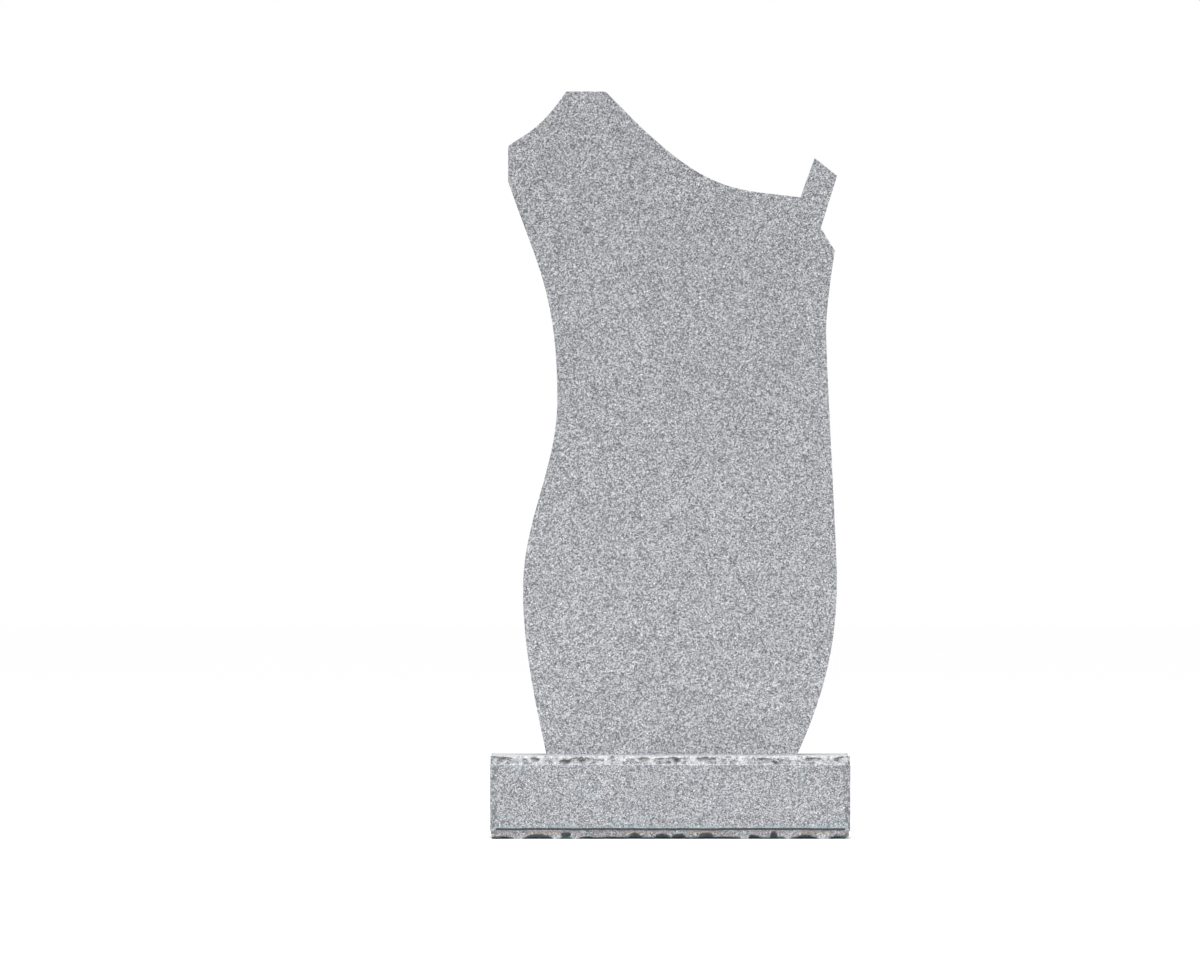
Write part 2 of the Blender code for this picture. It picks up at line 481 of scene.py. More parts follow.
    def relief(self, tree: bpy.types.NodeTree, place: Socket, broken: Socket) -> Socket:
        """Fine relief: dressing pits all over, and crystal steps on broken stone.

        Args:
            tree: the material's node tree.
            place: the point in the stone, in metres.
            broken: 1 on freshly broken stone.

        Returns:
            The bent normal.
        """
        pits = add_node(tree, "ShaderNodeTexNoise",
                        {"Vector": place, "Scale": 1 / self.pit, "Detail": self.detail})
        dressed = add_node(tree, "ShaderNodeBump",
                           {"Height": pits.outputs[0], "Strength": self.pit_strength,
                            "Distance": self.pit_depth})
        steps = add_node(tree, "ShaderNodeTexVoronoi",
                         {"Vector": place, "Scale": 1 / self.crystal}, feature="SMOOTH_F1")
        strength = add_node(tree, "ShaderNodeMath", {0: broken, 1: self.crystal_strength},
                            operation="MULTIPLY")
        crystals = add_node(tree, "ShaderNodeBump",
                            {"Height": steps.outputs[0], "Strength": strength.outputs[0],
                             "Distance": self.crystal_depth, "Normal": dressed.outputs[0]})
        return crystals.outputs[0]

    def material(self) -> bpy.types.Material:
        """Build the stone's material.

        Returns:
            The material, which reads Object coordinates and the attribute of wear, dirt, painted
            light and painted shade.
        """
        material = bpy.data.materials.new(self.name)
        material.use_nodes = True
        tree = material.node_tree
        shader = tree.nodes["Principled BSDF"]
        shader.inputs["IOR"].default_value = self.refraction
        place = add_node(tree, "ShaderNodeTexCoord").outputs["Object"]
        colour, lot = self.grains(tree, place)
        toned = add_node(tree, "ShaderNodeVectorMath",
                         {0: colour, "Scale": self.toning(tree, place)}, operation="SCALE")
        wear_and_light = add_node(tree, "ShaderNodeAttribute", attribute_name="wear_and_light")
        parts = add_node(tree, "ShaderNodeSeparateColor", {0: wear_and_light.outputs["Color"]})
        # This channel is broken stone and also painted light.
        broken = parts.outputs[WearAndLight.BROKEN_AND_LIT.value]
        # Each layer is real wear or dirt, and also painted light (the pale colour) or painted shade
        # (the stain and the dark colour together).
        layers = (
            (broken, self.broken_and_lit_share, self.bruised_and_lit),
            (parts.outputs[WearAndLight.STAIN_AND_SHADE.value], self.stain_and_shade_share, self.iron_stain_and_shade),
            (parts.outputs[WearAndLight.SLURRY.value], self.slurry_share, self.slurry),
            (wear_and_light.outputs["Alpha"], self.dirt_and_shade_share, self.dirt_and_shade),
        )
        colour = toned.outputs[0]
        for mask, most, tint in layers:
            share = add_node(tree, "ShaderNodeMath", {0: mask, 1: most}, operation="MULTIPLY")
            layer = add_node(tree, "ShaderNodeMix",
                             {0: share.outputs[0], 6: colour, 7: linear(tint)},
                             data_type="RGBA")
            colour = layer.outputs[2]
        tree.links.new(colour, shader.inputs["Base Color"])
        gloss = add_node(tree, "ShaderNodeMapRange",
                         {0: lot, 1: 0.0, 2: 1.0, 3: self.roughness - self.quartz_gloss,
                          4: self.roughness + self.feldspar_matt})
        tree.links.new(gloss.outputs[0], shader.inputs["Roughness"])
        tree.links.new(self.relief(tree, place, broken), shader.inputs["Normal"])
        return material


def cubic(start: np.ndarray, leave: np.ndarray, arrive: np.ndarray, end: np.ndarray,
          count: int) -> np.ndarray:
    """Points of a cubic curve, the start left out.

    The point at t is s^3 p0 + 3 s^2 t p1 + 3 s t^2 p2 + t^3 p3 with s = 1 - t.

    Args:
        start: first point, across and up.
        leave: step from the start to its handle.
        arrive: step from the end's handle to the end.
        end: last point.
        count: number of points.

    Returns:
        count points as an array of count x 2.
    """
    t = (np.arange(1, count + 1) / count)[:, None]
    s = 1.0 - t
    first, second = start + leave, end - arrive
    return s ** 3 * start + 3 * s * s * t * first + 3 * s * t * t * second + t ** 3 * end


def straight(start: np.ndarray, end: np.ndarray, step: float) -> np.ndarray:
    """Evenly spaced points of a straight side, the start left out.

    Args:
        start: first point, across and up.
        end: last point.
        step: the least distance from one point to the next.

    Returns:
        Points as an array of N x 2.
    """
    count = max(1, int(float(np.linalg.norm(end - start)) / step))
    t = (np.arange(1, count + 1) / count)[:, None]
    return start * (1 - t) + end * t


@dataclass(frozen=True)
class Outline:
    """Where the tablet's outline turns, and the handles of its curved sides.

    A point is given as shares of the tablet's width and height, (0, 0) at the lower
    left of its extents. At a belly or a waist the side runs plumb.
    """

    foot_left: Share = (0.1165, 0.0)
    belly_left: Share = (0.0451, 0.2478)
    waist_left: Share = (0.1495, 0.5345)
    ear_lower: Share = (0.0, 0.8645)
    ear_upper: Share = (0.0, 0.9177)
    peak_left: Share = (0.1771, 1.0)
    peak_right: Share = (0.2972, 1.0)
    stub_foot: Share = (0.8897, 0.8405)
    stub_left: Share = (0.9322, 0.8994)
    stub_right: Share = (1.0, 0.8729)
    notch: Share = (0.9506, 0.7941)
    shoulder: Share = (0.9936, 0.7595)
    waist_right: Share = (0.9668, 0.6370)
    belly_right: Share = (0.9996, 0.2691)
    foot_right: Share = (0.8782, 0.0)

    foot_to_belly_left: Handles = ((-0.026, 0.062), (0.0, 0.0900))
    belly_to_waist_left: Handles = ((0.0, 0.1078), (0.0, 0.1012))
    waist_to_ear: Handles = ((0.0, 0.1607), (-0.0867, 0.1257))
    ear_to_peak: Handles = ((0.0741, 0.0248), (0.0753, 0.0537))
    peak_to_stub: Handles = ((0.2961, -0.1552), (0.2248, -0.0135))
    shoulder_to_waist: Handles = ((-0.0149, -0.0430), (0.0, -0.0300))
    waist_to_belly_right: Handles = ((0.0, -0.0400), (0.0, -0.0300))
    belly_to_foot_right: Handles = ((0.0, -0.0856), (-0.0974, -0.1050))


@dataclass
class Tablet:
    """The upright slab with the shaped outline."""

    turns: Outline = Outline()
    width: float = 0.595
    height: float = 1.200
    thickness: float = 0.080
    shift: float = 4.6 * MM
    foot_level: float = 0.1503
    seed: int = 21

    # Points along the outline. A worn tip stands for the first few points of the
    # curve that leaves it, what lies below the foot band is the foot, and the floor
    # keeps the mitre of a sharp turn short.
    step: float = 2.4 * MM
    stub_step: float = 3.8 * MM
    fewest_points: int = 4
    tip_radius: float = 5.0 * MM
    tip_points: int = 5
    tip_overlap: int = 3
    foot_band: float = 0.5 * MM
    mitre_floor: float = 0.5

    # The eased arrises. A nick's reach and depth are in mm.
    arris: float = 0.8 * MM
    arris_least: float = 0.8
    arris_wander: float = 0.5
    arris_run: float = 18 * MM
    arris_degrees: tuple[float, ...] = (0.0, 30.0, 60.0, 90.0)
    foot_ease: float = 0.3
    nick_count: int = 70
    nick_reaches: Range = (1.5, 4.5)
    nick_depths: Range = (0.3, 1.1)
    widest_nick: float = 1.7 * MM
    bruised_from: float = 1.1 * MM
    closing: float = 2.2 * MM

    # The dressed edge between them.
    edge_rows: int = 26
    edge_margin: float = 2 * MM
    edge_calm: float = 6 * MM
    edge_cell: float = 9 * MM
    edge_seed: int = 26
    edge_floor: float = 0.35
    edge_bruise: float = 0.25
    dressing: float = 0.5 * MM
    sharp_degrees: float = 28.0

    def at(self, share: Share) -> np.ndarray:
        """A point of the outline in metres, across from the middle and up from the foot."""
        return np.array([(share[0] - 0.5) * self.width, share[1] * self.height])

    def side(self, start: Share, handles: Handles, end: Share) -> np.ndarray:
        """A curved side of the outline, the start left out.

        Args:
            start: first point, as shares.
            handles: steps to and from its handles, as shares.
            end: last point, as shares.

        Returns:
            Points in metres, N x 2.
        """
        size = np.array([self.width, self.height])
        leave, arrive = (np.array(handle) * size for handle in handles)
        first, last = self.at(start), self.at(end)
        length = float(np.linalg.norm(last - first))
        count = max(self.fewest_points, round(length / self.step))
        return cubic(first, leave, arrive, last, count)

    def worn_tip(self, before: np.ndarray, tip: np.ndarray, after: np.ndarray) -> np.ndarray:
        """A worn tip: the arc s^2 a + 2 s t tip + t^2 b with s = 1 - t, cutting the corner.

        Args:
            before: a point on the side that comes in.
            tip: the corner.
            after: a point on the side that goes out.

        Returns:
            Points of the arc, N x 2.
        """
        enter = tip + (before - tip) / np.linalg.norm(before - tip) * self.tip_radius
        leave = tip + (after - tip) / np.linalg.norm(after - tip) * self.tip_radius
        t = np.linspace(0.0, 1.0, self.tip_points)[:, None]
        return enter * (1 - t) ** 2 + tip * 2 * t * (1 - t) + leave * t ** 2

    def outline(self) -> np.ndarray:
        """The outline, clockwise seen from the front, from the left end of the foot.

        Returns:
            Points as an array of N x 2, across and up, in metres.
        """
        turns = self.turns
        left = np.concatenate([
            self.at(turns.foot_left)[None],
            self.side(turns.foot_left, turns.foot_to_belly_left, turns.belly_left),
            self.side(turns.belly_left, turns.belly_to_waist_left, turns.waist_left),
            self.side(turns.waist_left, turns.waist_to_ear, turns.ear_lower),
        ])
        crown = self.side(turns.ear_upper, turns.ear_to_peak, turns.peak_left)
        sweep = self.side(turns.peak_right, turns.peak_to_stub, turns.stub_foot)
        ear_tip = self.worn_tip(left[-1], self.at(turns.ear_upper), crown[self.tip_overlap])
        peak_tip = self.worn_tip(crown[-1], self.at(turns.peak_right), sweep[self.tip_overlap])
        right = np.concatenate([
            self.side(turns.shoulder, turns.shoulder_to_waist, turns.waist_right),
            self.side(turns.waist_right, turns.waist_to_belly_right, turns.belly_right),
            self.side(turns.belly_right, turns.belly_to_foot_right, turns.foot_right),
        ])
        corners = [self.at(share) for share in (turns.stub_foot, turns.stub_left,
                                                turns.stub_right, turns.notch, turns.shoulder)]
        stub = [straight(a, b, self.stub_step) for a, b in zip(corners, corners[1:])]
        return np.concatenate([
            left,
            straight(left[-1], ear_tip[0], self.step), ear_tip[1:],
            crown[self.tip_overlap:],
            straight(crown[-1], peak_tip[0], self.step), peak_tip[1:],
            sweep[self.tip_overlap:],
            *stub,
            right,
            straight(right[-1], left[0], self.step)[:-1],
        ])

    def course(self, path: np.ndarray) -> tuple[np.ndarray, np.ndarray, float]:
        """Follow the outline.

        Args:
            path: its points, N x 2.

        Returns:
            The mitred step outwards at each point as N x 2, the distance along the
            outline as N, and the way once round it.
        """
        ahead = np.roll(path, -1, axis=0) - path
        lengths = np.linalg.norm(ahead, axis=1)
        outward = np.stack([-ahead[:, 1], ahead[:, 0]], axis=1) / lengths[:, None]
        mitre = outward + np.roll(outward, 1, axis=0)
        mitre /= np.maximum((mitre ** 2).sum(axis=1, keepdims=True) / 2, self.mitre_floor)
        distance = np.concatenate([[0.0], np.cumsum(lengths)[:-1]])
        return mitre, distance, float(lengths.sum())

    def nicks(self, distance: np.ndarray, around: float) -> np.ndarray:
        """Radius of the eased arris along the outline, with its small nicks.

        A nick widens the arris by depth * (1 - (ds / reach)^2) where it is positive.

        Args:
            distance: distance along the outline, in metres.
            around: the way once round it, in metres.

        Returns:
            Radii in metres.
        """
        rng = np.random.default_rng(self.seed)
        wander = rough_noise(distance, np.zeros(1), around, self.arris_run, self.seed)
        radius = self.arris * (self.arris_least + self.arris_wander * wander)
        for _ in range(self.nick_count):
            middle = rng.uniform(0, around)
            reach = rng.uniform(*self.nick_reaches) * MM
            depth = rng.uniform(*self.nick_depths) * MM
            away = np.abs((distance - middle + around / 2) % around - around / 2)
            radius = radius + depth * np.clip(1 - (away / reach) ** 2, 0.0, None)
        return np.minimum(radius, self.widest_nick)

    def edge_relief(self, rows: np.ndarray, distance: np.ndarray, around: float,
                    standing: np.ndarray) -> np.ndarray:
        """Low relief of the dressed edge.

        It is twice the dressing times what the noise has over its floor, fading out
        towards either arris, and nothing along the foot.

        Args:
            rows: depths of the edge's rings, from the slab's middle.
            distance: distance along the outline, N.
            around: the way once round it.
            standing: whether each point is off the foot, N.

        Returns:
            Insets in metres, rings x N.
        """
        half = self.thickness / 2
        fade = smooth_step(np.abs(rows), half, half - self.edge_calm)[:, None]
        rough = rough_noise(distance[None, :], (rows + half)[:, None], around, self.edge_cell,
                            self.edge_seed)
        raised = np.clip(rough - self.edge_floor, 0.0, None)
        return self.dressing * 2 * raised * fade * standing[None, :]

    def stack(self, front: np.ndarray, back: np.ndarray, rows: np.ndarray,
              relief: np.ndarray) -> tuple[np.ndarray, np.ndarray]:
        """Inset and depth of every ring, from the front face to the back face.

        On the two arrises the inset is r (1 - sin a) at a depth of r (1 - cos a),
        and between them it is the edge's relief. A plain ring inside each arris
        keeps the arris's wear off the flat faces.

        Args:
            front: radius of the front arris at each point, N.
            back: the same for the back arris.
            rows: depths of the edge's rings.
            relief: insets of the edge's rings, rings x N.

        Returns:
            Insets and depths, both as rings x N.
        """
        turn = np.radians(self.arris_degrees)
        half = self.thickness / 2
        face = np.full(len(front), half)
        closing = np.full(len(front), self.closing)
        inset = [closing] + [front * (1 - np.sin(a)) for a in turn]
        depth = [-face] + [-half + front * (1 - np.cos(a)) for a in turn]
        inset += list(relief)
        depth += [np.full(len(front), y) for y in rows]
        inset += [back * (1 - np.sin(a)) for a in turn[::-1]] + [closing]
        depth += [half - back * (1 - np.cos(a)) for a in turn[::-1]] + [face]
        return np.array(inset), np.array(depth)

    def wear_and_light(self, rows: int, front: np.ndarray, back: np.ndarray,
             standing: np.ndarray) -> np.ndarray:
        """Where the tablet is bruised: in its nicks and faintly on its edge; at its foot the pale
        colour is painted light that offsets the shade there.

        Args:
            rows: number of rings.
            front: radius of the front arris at each point, N.
            back: the same for the back arris.
            standing: whether each point is off the foot, N.

        Returns:
            The attribute of wear and painted light, rings x N x 4.
        """
        wear_and_light = np.zeros((rows, len(front), len(WearAndLight)))
        broken = wear_and_light[..., WearAndLight.BROKEN_AND_LIT.value]
        inner = 1 + len(self.arris_degrees)
        broken[1:inner] = smooth_step(front, self.bruised_from, self.widest_nick)
        broken[-inner:-1] = smooth_step(back, self.bruised_from, self.widest_nick)
        broken[inner:-inner] = self.edge_bruise
        # Painted light: the foot's rings take the pale colour to offset the shade at the joint.
        broken[1:-1, ~standing] = 1.0
        return wear_and_light

    def build(self, finish: Granite) -> bpy.types.Object:
        """Make the tablet: rings of the outline from the front face to the back face.

        Every ring is the outline moved inwards by its inset along its mitred normal.

        Args:
            finish: the granite.

        Returns:
            The tablet's object.
        """
        path = self.outline()
        mitre, distance, around = self.course(path)
        standing = path[:, 1] > self.foot_band
        eased = np.where(standing, 1.0, self.foot_ease)
        nicks = self.nicks(distance, around)
        front, back = nicks * eased, nicks[::-1] * eased
        reach = self.thickness / 2 - self.edge_margin
        rows = np.linspace(-reach, reach, self.edge_rows)
        relief = self.edge_relief(rows, distance, around, standing)
        inset, depth = self.stack(front, back, rows, relief)
        across = path[:, 0] - mitre[:, 0] * inset + self.shift
        up = path[:, 1] - mitre[:, 1] * inset + self.foot_level
        rings = np.stack([across, depth, up], axis=-1)
        wear_and_light = self.wear_and_light(len(rings), front, back, standing)
        piece = ring_mesh("tablet_stone", rings, wear_and_light, self.sharp_degrees)
        piece.data.materials.append(finish.material())
        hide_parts("tablet")
        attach(piece, "root")
        return piece


@dataclass(frozen=True)
class BrokenGrain:
    """Random relief that all broken faces of the base share, at each of its points.

    Attributes:
        grit: fine roughness, about 0.
        coarse: coarser roughness, about 0.
        ragged: what breaks up the outlines of the scars, about 0.
    """

    grit: np.ndarray
    coarse: np.ndarray
    ragged: np.ndarray


@dataclass
class Base:
    """The rectangular block under the tablet.

    The scars of the front are read off the photograph, as millimetres from the
    front's left end and above the ground. The other sides have seeded ones. In the
    pairs of heights, of margins and of distances, an effect starts at the first and
    is whole at the second.
    """

    width: float = 0.650
    depth: float = 0.200
    height: float = 0.150

    # Spacing of the columns round the base.
    pitch: float = 1.9 * MM
    side_pitch: float = 2.8 * MM
    corner_pitch: float = 0.9 * MM
    corner_zone: float = 6 * MM
    corner_reach: float = 40.0 * MM

    # The rings, from the ground up, with the gaps before and after each group.
    lip_rows: int = 17
    saw_rows: int = 11
    face_rows: int = 42
    edge_rows: int = 27
    lip_gap: float = 0.6 * MM
    saw_gap: float = 1.0 * MM
    face_gap: float = 5 * MM
    edge_gap: float = 3.6 * MM
    top_gap: float = 1.0 * MM
    last_gap: float = 0.35 * MM
    closing: float = 4.0 * MM
    rim: float = 1.2 * MM
    sharp_degrees: float = 32.0

    # Roughness of all broken faces.
    grit_noise: Noise = Noise(7 * MM, 18)
    grit_middle: float = 0.42
    coarse_noise: Noise = Noise(16 * MM, 22)
    coarse_middle: float = 0.45
    ragged_noise: Noise = Noise(5 * MM, 30)
    ragged_height: float = 2.2

    # The broken upper edge. Its shares run from 0 at the sill to 1 at the top.
    face_top: float = 133.2 * MM
    sill_noise: Noise = Noise(30 * MM, 7)
    sill_wander: float = 2.4 * MM
    rebate: float = 2.2 * MM
    rebate_shares: Range = (0.0, 0.10)
    edge_grit: float = 2.4 * MM
    edge_coarse: float = 2.0 * MM
    edge_rough_shares: Range = (0.0, 0.2)
    crest: float = 4.5 * MM
    crest_noise: Noise = Noise(55 * MM, 10)
    crest_least: float = 0.45
    crest_swell: float = 1.1
    crest_from: float = 0.62
    crest_power: float = 2.6
    end_crest: float = 0.15
    end_margins: Range = (8 * MM, 45 * MM)
    fallen_unseen: float = 0.85
    fallen_in_front: float = 0.30
    fallen_shares: Range = (0.3, 0.9)
    corner_break: float = 0.8 * MM
    corner_break_slope: float = 0.4

    # The saw line.
    saw_low: float = 15.5 * MM
    saw_high: float = 20.1 * MM
    saw_depth: float = 5.0 * MM
    saw_margin: float = 9.0 * MM
    saw_edge: float = 0.4 * MM
    saw_noise: Noise = Noise(40 * MM, 16)
    saw_wobble: float = 1.4 * MM

    # The broken lip under it. Its share runs from 0 at the saw line to 1 at the ground.
    lip_step: float = 1.2 * MM
    lip_fall: float = 2.2 * MM
    lip_toe: float = 4.0 * MM
    lip_toe_power: int = 6
    lip_grit: float = 2.4 * MM
    lip_coarse: float = 1.6 * MM
    lip_start: float = 1.5 * MM
    hollow_gain_unseen: float = 1.6
    hollow_ragged_in_front: float = 0.4
    undercut: float = 3.5 * MM
    undercut_heights: Range = (4.5 * MM, 1 * MM)
    corner_fall: float = 5.5 * MM
    corner_fall_slope: float = 0.5
    lump_softness: float = 3.0
    lump_noise: Noise = Noise(24 * MM, 67)
    lump_lots: Range = (0.55, 0.65)

    # The upright arrises.
    corner_radius: float = 2.0 * MM
    corner_rounding: float = 0.35
    chip_seed: int = 47
    chip_lowest: float = 24.0
    chip_highest: float = 130.0
    chip_spacing: float = 9.0
    chip_shifts: Range = (-2, 2)
    chip_rises: Range = (-3, 3)
    chip_sizes: Range = (5, 14)
    chip_depths: Range = (0.4, 1.3)
    low_left_chip: Scar = Scar(0.0, 30.0, 9.0, 6.0, 2.0)

    # Seeded scars in mm, smaller in front.
    upper_row: ScarRow = ScarRow(heights=(136.0, 149.0), tall=(6.0, 14.0), count=62, seed=27)
    lower_row: ScarRow = ScarRow(heights=(-1.0, 1.0), tall=(10.0, 26.0), count=46, seed=38)
    scar_shifts: Range = (-6, 6)
    scar_lengths: Range = (12, 40)
    scar_depths: Range = (1.5, 5.5)
    size_in_front: float = 0.45

    # Dust on the breaks, and painted light on their upward ledges, on the lumps and on the top.
    dust_noise: Noise = Noise(5.5 * MM, 59)
    dust_lots: Range = (0.38, 0.66)
    dust_share: float = 0.95
    ledge_light_slopes: Range = (0.1, 1.0)
    ledge_light_share: float = 0.3
    edge_reach: float = 6 * MM
    broken_depths: Range = (0.3 * MM, 1.2 * MM)
    lump_light_heights: Range = (9 * MM, 4 * MM)
    lump_light_share: float = 0.3
    top_dust_and_light: float = 0.9

    # Painted shade under the overhangs, and dirt beside the upright arrises.
    overhang_shade_slopes: Range = (0.25, 1.3)
    overhang_shade_brown: float = 0.7
    overhang_shade_blue: float = 0.6
    dirt_noise: Noise = Noise(5.5 * MM, 77)
    dirt_lots: Range = (0.53, 0.62)
    dirt_inner: Range = (0.5 * MM, 2.0 * MM)
    dirt_outer: Range = (18 * MM, 5 * MM)
    dirt_share: float = 0.9
    dirt_stain: float = 0.5

    # The stain under the saw line and the dried slurry over it.
    patch_noise: Noise = Noise(12 * MM, 57)
    stain_lots: Range = (0.25, 0.65)
    stain_drop: Range = (6 * MM, 3 * MM)
    smear_lots: Range = (0.1, 0.5)
    smear_rise: Range = (4.5 * MM, 2 * MM)
    smear_overlap: float = 0.5 * MM
    smear_noise: Noise = Noise(14 * MM, 63)
    smear_wander: float = 2.4 * MM
    rinse_noise: Noise = Noise(28 * MM, 61)
    rinse_lots: Range = (0.5, 0.8)
    rinse_share: float = 0.16

    # Painted shade in the saw line, in the hollows and close to the ground.
    line_edge: float = 0.1 * MM
    line_depth: float = 2.5 * MM
    line_shade: float = 0.85
    hollow_depths: Range = (3.5 * MM, 7.5 * MM)
    hollow_drop: Range = (2 * MM, 6 * MM)
    low_heights: Range = (11 * MM, 6 * MM)
    low_shade: float = 0.15
    ground_heights: Range = (5 * MM, 1 * MM)
    ground_shade: float = 0.55

    upper_scars: tuple[Scar, ...] = (
        Scar(12, 143.0, 15, 9, 6.0),
        Scar(29, 144.5, 18, 6, 4.5),
        Scar(63, 140.5, 12, 8, 5.0),
        Scar(81, 143.0, 18, 7, 6.0),
        Scar(135, 138.5, 19, 8, 8.0),
        Scar(163, 141.5, 37, 11, 7.0),
        Scar(221, 147.0, 10, 4, 5.0),
        Scar(276, 143.5, 22, 6, 5.5),
        Scar(308, 142.0, 22, 8, 5.0),
        Scar(332, 142.0, 26, 9, 6.5),
        Scar(322, 138.0, 10, 5, 6.0),
        Scar(388, 143.0, 35, 9, 6.5),
        Scar(432, 146.8, 12, 4, 5.5),
        Scar(493, 141.5, 30, 9, 7.0),
        Scar(514, 138.5, 11, 7, 8.0),
        Scar(583, 143.5, 28, 7, 6.5),
        Scar(633, 142.5, 23, 9, 7.0),
    )
    lower_scars: tuple[Scar, ...] = (
        Scar(20, 0.0, 32, 9, 7.0),
        Scar(86, 0.0, 47, 19, 8.0),
        Scar(137, 7.5, 18, 10, 9.0),
        Scar(176, 0.0, 18, 10, 8.0),
        Scar(222, 0.0, 43, 8, 7.0),
        Scar(262, 0.0, 28, 22, 12.0),
        Scar(311, 0.0, 28, 19, 12.0),
        Scar(340, 0.0, 26, 20, 12.0),
        Scar(390, 0.0, 33, 23, 12.0),
        Scar(424, 0.0, 43, 8, 7.0),
        Scar(476, 0.0, 20, 16, 9.0),
        Scar(512, 4.0, 13, 21, 11.0),
        Scar(568, 0.0, 34, 16, 9.0),
        Scar(630, 0.0, 31, 14, 8.0),
    )
    lumps: tuple[Range, ...] = (
        (41, 61), (112, 128), (146, 162), (451, 467), (530, 543), (590, 612),
    )

    def around(self) -> float:
        """The way once round the base."""
        return 2 * (self.width + self.depth)

    def corners(self) -> np.ndarray:
        """Distance round the base of each upright arris, the first one also as the last."""
        return np.array([0.0, self.width, self.width + self.depth,
                         2 * self.width + self.depth, self.around()])

    def noise(self, s: np.ndarray, z: np.ndarray, kind: Noise) -> np.ndarray:
        """One of the base's random reliefs, from 0 to 1, at distance s and height z."""
        return rough_noise(s, z, self.around(), kind.cell, kind.seed)

    def noise_round(self, s: np.ndarray, kind: Noise) -> np.ndarray:
        """One of the base's random reliefs that is the same at every height."""
        return self.noise(s, np.zeros((1, 1)), kind)

    def plan(self) -> tuple[np.ndarray, np.ndarray, np.ndarray, np.ndarray]:
        """Columns round the base, counter-clockwise from above, from the front's left end.

        A column's inward step is square to its face in the middle of a side, and
        leans along it by 3t^2 - 2t^3 over the last stretch, to the corner's mitre.

        Returns:
            Points and inward steps as N x 2, the distance round the base and the
            distance to the nearest corner, both as N.
        """
        half_w, half_d = self.width / 2, self.depth / 2
        runs = {
            Side.FRONT: ((-half_w, -half_d), (1.0, 0.0), self.width, self.pitch),
            Side.RIGHT: ((half_w, -half_d), (0.0, 1.0), self.depth, self.side_pitch),
            Side.BACK: ((half_w, half_d), (-1.0, 0.0), self.width, self.side_pitch),
            Side.LEFT: ((-half_w, half_d), (0.0, -1.0), self.depth, self.side_pitch),
        }
        close = np.arange(0.0, self.corner_zone, self.corner_pitch)
        points, steps, distances, margins = [], [], [], []
        passed = 0.0
        for corner, along, length, pitch in runs.values():
            corner, along = np.array(corner), np.array(along)
            count = round((length - 2 * self.corner_zone) / pitch) + 1
            middle = np.linspace(self.corner_zone, length - self.corner_zone, count)
            t = np.concatenate([close, middle, (length - close)[:0:-1]])
            inward = np.array([-along[1], along[0]])
            lean = (smooth_step(t, self.corner_reach, 0.0)
                    - smooth_step(t, length - self.corner_reach, length))
            points.append(corner + t[:, None] * along)
            steps.append(inward + lean[:, None] * along)
            distances.append(passed + t)
            margins.append(np.minimum(t, length - t))
            passed += length
        return (np.concatenate(points), np.concatenate(steps), np.concatenate(distances),
                np.concatenate(margins))

    def levels(self) -> np.ndarray:
        """Heights of the rings, closer where the stone is broken or sawn.

        Returns:
            Heights in metres, from the ground up.
        """
        return np.concatenate([
            np.linspace(0.0, self.saw_low - self.lip_gap, self.lip_rows),
            np.linspace(self.saw_low, self.saw_high, self.saw_rows),
            np.linspace(self.saw_high + self.saw_gap, self.face_top - self.face_gap,
                        self.face_rows),
            np.linspace(self.face_top - self.edge_gap, self.height - self.top_gap,
                        self.edge_rows),
            [self.height - self.last_gap],
        ])

    def seeded_scars(self, row: ScarRow) -> list[Scar]:
        """Scars for the sides that the photograph doesn't show, and small ones in front.

        Args:
            row: where they are, how tall and how many.

        Returns:
            The scars.
        """
        rng = np.random.default_rng(row.seed)
        scars = []
        for place in np.linspace(0, self.around() / MM, row.count, endpoint=False):
            size = self.size_in_front if place < self.width / MM else 1.0
            scars.append(Scar(place + rng.uniform(*self.scar_shifts),
                              rng.uniform(*row.heights),
                              rng.uniform(*self.scar_lengths) * size,
                              rng.uniform(*row.tall) * size,
                              rng.uniform(*self.scar_depths) * size))
        return scars

    def corner_chips(self) -> list[Scar]:
        """Small chips down the four upright arrises, and the one low on the left.

        Returns:
            The chips, as scars.
        """
        rng = np.random.default_rng(self.chip_seed)
        chips = [self.low_left_chip]
        for corner in self.corners() / MM:
            for height in np.arange(self.chip_lowest, self.chip_highest, self.chip_spacing):
                chips.append(Scar(corner + rng.uniform(*self.chip_shifts),
                                  height + rng.uniform(*self.chip_rises),
                                  rng.uniform(*self.chip_sizes),
                                  rng.uniform(*self.chip_sizes),
                                  rng.uniform(*self.chip_depths)))
        return chips

    def on_lumps(self, s: np.ndarray) -> np.ndarray:
        """Where the lower edge bulges down to the ground instead of being undercut.

        Args:
            s: distance round the base, 1 x N.

        Returns:
            1 on a lump and 0 off it, soft at its ends; seeded lumps where unseen.
        """
        soft = self.lump_softness
        front = np.zeros_like(s)
        for start, end in self.lumps:
            rise = smooth_step(s, (start - soft) * MM, (start + soft) * MM)
            fall = smooth_step(s, (end + soft) * MM, (end - soft) * MM)
            front = np.maximum(front, rise * fall)
        unseen = smooth_step(self.noise_round(s, self.lump_noise), *self.lump_lots)
        return np.where(s < self.width, front, unseen)

